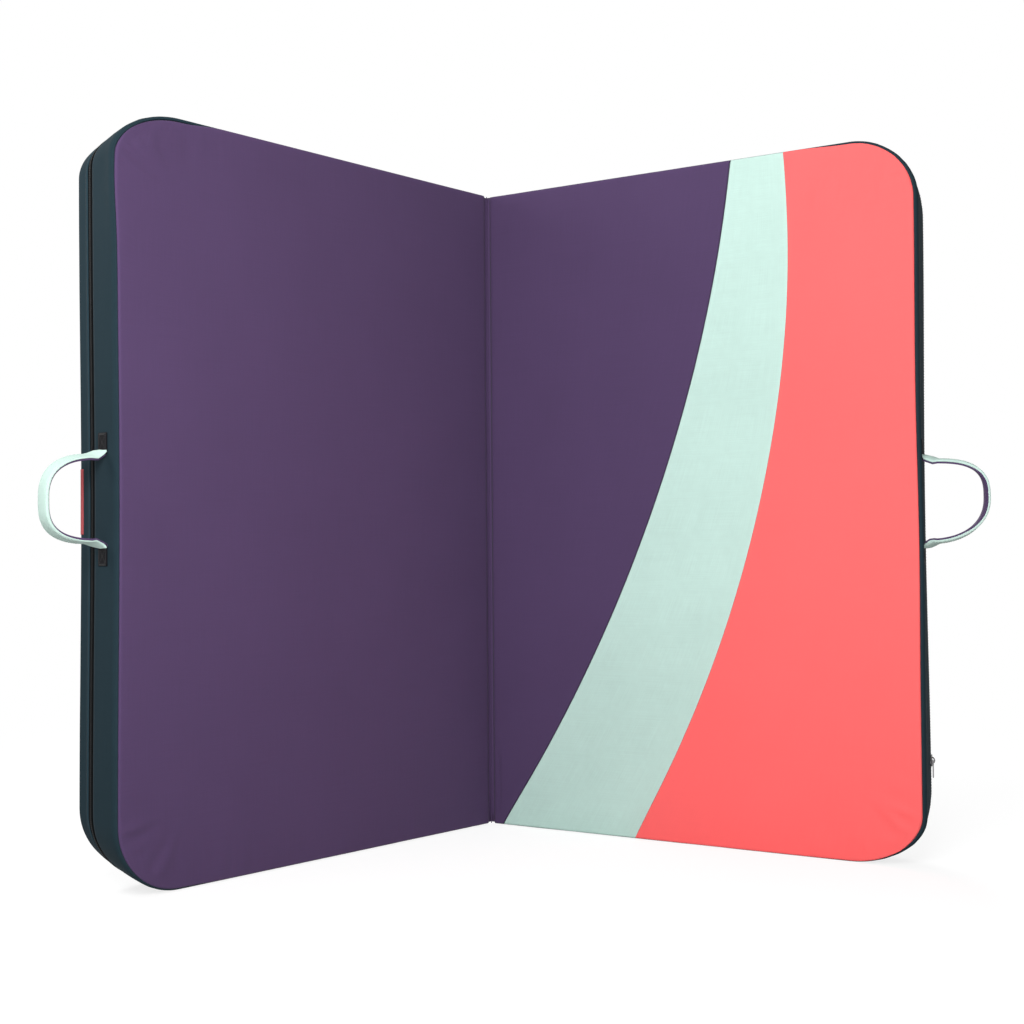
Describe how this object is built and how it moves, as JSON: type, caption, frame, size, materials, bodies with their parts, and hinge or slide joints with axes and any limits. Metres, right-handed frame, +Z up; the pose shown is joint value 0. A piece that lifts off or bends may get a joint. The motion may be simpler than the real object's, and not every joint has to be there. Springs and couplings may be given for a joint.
{
  "type": "bouldering crash pad",
  "caption": "Two-part folding crash pad, foam-filled cloth halves on an upright fold, with edge handles, zips, shoulder harness and closing straps.",
  "frame": {"origin": "on the floor, under the middle of the box of the pad as it stands half open on its lower edges", "axes": "+Z up along the fold, +X from the left half to the right half, +Y from the open mouth of the pad towards the fold and the ground sides"},
  "size_m": [1.2416, 0.5383, 1.006],
  "materials": {
    "purple_cloth": "woven polyester",
    "mint_cloth": "woven polyester",
    "coral_cloth": "woven polyester",
    "teal_cloth": "woven polyester",
    "ground_cloth": "coated woven polyester",
    "zip_black": "zip tape and nylon coil",
    "black_web": "flat webbing",
    "strap_cloth": "padded strap cloth",
    "buckle_plastic": "moulded acetal, satin",
    "slider_metal": "dark lacquered zinc",
    "firm_foam": "closed-cell foam sheet",
    "soft_foam": "open-cell foam"
  },
  "bodies": {
    "left_half": {"left_purple_panel": "purple_cloth", "left_front_side_band": "teal_cloth", "left_coil_zip": "zip_black", "left_ground_side_band": "teal_cloth", "left_fold_wall": "teal_cloth", "left_ground_panel": "ground_cloth", "left_landing_foam": "firm_foam", "left_core_foam": "soft_foam", "left_base_foam": "firm_foam", "left_handle_lower_anchor": "black_web", "left_handle_upper_anchor": "black_web", "left_edge_tab": "coral_cloth", "lower_closure_socket": "buckle_plastic", "lower_socket_strap": "black_web", "upper_closure_socket": "buckle_plastic", "upper_socket_strap": "black_web", "harness_top_patch": "teal_cloth", "inner_shoulder_strap": "strap_cloth", "inner_ladder_lock": "buckle_plastic", "inner_lock_loop": "black_web", "inner_lock_web": "black_web", "outer_shoulder_strap": "strap_cloth", "outer_ladder_lock": "buckle_plastic", "outer_lock_loop": "black_web", "outer_lock_web": "black_web", "fold_welt": "purple_cloth"},
    "right_half": {"right_purple_panel": "purple_cloth", "right_mint_panel": "mint_cloth", "right_coral_panel": "coral_cloth", "right_front_side_band": "teal_cloth", "right_coil_zip": "zip_black", "right_ground_side_band": "teal_cloth", "right_fold_wall": "teal_cloth", "right_ground_panel": "ground_cloth", "right_landing_foam": "firm_foam", "right_core_foam": "soft_foam", "right_base_foam": "firm_foam", "right_handle_lower_anchor": "black_web", "right_handle_upper_anchor": "black_web", "lower_closure_plug": "buckle_plastic", "lower_plug_strap": "black_web", "upper_closure_plug": "buckle_plastic", "upper_plug_strap": "black_web"},
    "left_handle": {"left_handle_sleeve": "mint_cloth", "left_handle_lining": "purple_cloth"},
    "right_handle": {"right_handle_sleeve": "mint_cloth", "right_handle_lining": "purple_cloth"},
    "left_slider": {"left_zip_slider": "slider_metal"},
    "right_slider": {"right_zip_slider": "slider_metal"},
    "left_pull": {"left_zip_pull": "slider_metal"},
    "right_pull": {"right_zip_pull": "slider_metal"}
  },
  "joints": [
    {"name": "fold", "type": "hinge", "parent": "left_half", "child": "right_half", "pos_m": [0, 0.20457, 0.5], "axis": [0, 0, 1], "range_deg": [-97.5, 79.2]},
    {"name": "left_handle_swing", "type": "hinge", "parent": "left_half", "child": "left_handle", "pos_m": [-0.55215, -0.20938, 0.5], "axis": [0, 0, 1], "range_deg": [-65, 25]},
    {"name": "right_handle_swing", "type": "hinge", "parent": "right_half", "child": "right_handle", "pos_m": [0.5507, -0.20818, 0.5], "axis": [0, 0, 1], "range_deg": [-25, 65]},
    {"name": "left_zip_travel", "type": "slide", "parent": "left_half", "child": "left_slider", "axis": [-0.7705, -0.6374, 0], "range_m": [-0.03, 0.5]},
    {"name": "right_zip_travel", "type": "slide", "parent": "right_half", "child": "right_slider", "axis": [0, 0, 1], "range_m": [-0.03, 0.72]},
    {"name": "left_pull_swing", "type": "hinge", "parent": "left_slider", "child": "left_pull", "pos_m": [-0.08931, 0.20271, 1.00312], "axis": [0.6374, -0.7705, 0], "range_deg": [0, 170]},
    {"name": "right_pull_swing", "type": "hinge", "parent": "right_slider", "child": "right_pull", "pos_m": [0.56406, -0.18927, 0.138], "axis": [-0.4807, -0.8769, 0], "range_deg": [0, 170]}
  ]
}
